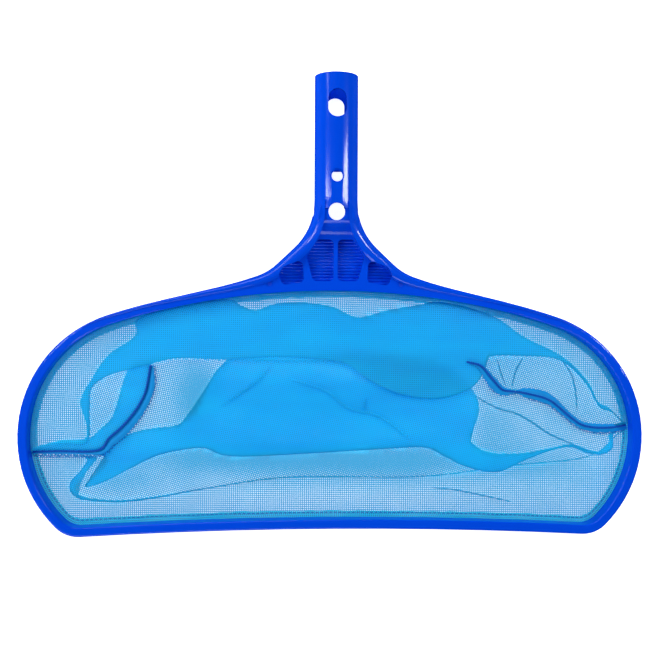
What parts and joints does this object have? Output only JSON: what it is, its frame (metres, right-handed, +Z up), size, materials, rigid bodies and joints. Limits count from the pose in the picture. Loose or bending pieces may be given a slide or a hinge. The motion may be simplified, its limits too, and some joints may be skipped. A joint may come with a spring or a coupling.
{
  "type": "pool leaf skimmer net",
  "caption": "Flat D-shaped plastic hoop with a tubular pole plug and a shallow mesh bag, lying face up, for lifting leaves off water.",
  "frame": {"origin": "middle of the footprint, on the surface that the net lies on", "axes": "+X right along the hoop's width, +Y along the handle towards its open end, +Z up out of the net's mouth"},
  "size_m": [0.4342, 0.3176, 0.03],
  "materials": {
    "frame_plastic": "glossy injection-moulded polypropylene",
    "ring_plastic": "plain moulded polypropylene",
    "pin_plastic": "plain moulded polypropylene",
    "hem_mesh": "doubled fine polyester mesh",
    "net_mesh": "fine open polyester mesh",
    "seam_tape": "woven binding tape",
    "seam_cord": "twisted piping cord",
    "thread": "sewing thread"
  },
  "bodies": {
    "root": {"frame": "frame_plastic", "retaining_ring": "ring_plastic", "ring_pins": "pin_plastic", "net_hem": "hem_mesh", "hem_stitches": "thread", "net_upper_panel": "net_mesh", "net_lower_panel": "net_mesh", "left_seam_binding": "seam_tape", "right_seam_binding": "seam_tape", "left_seam_cord": "seam_cord", "right_seam_cord": "seam_cord", "left_seam_stitches": "thread", "right_seam_stitches": "thread"}
  },
  "joints": []
}
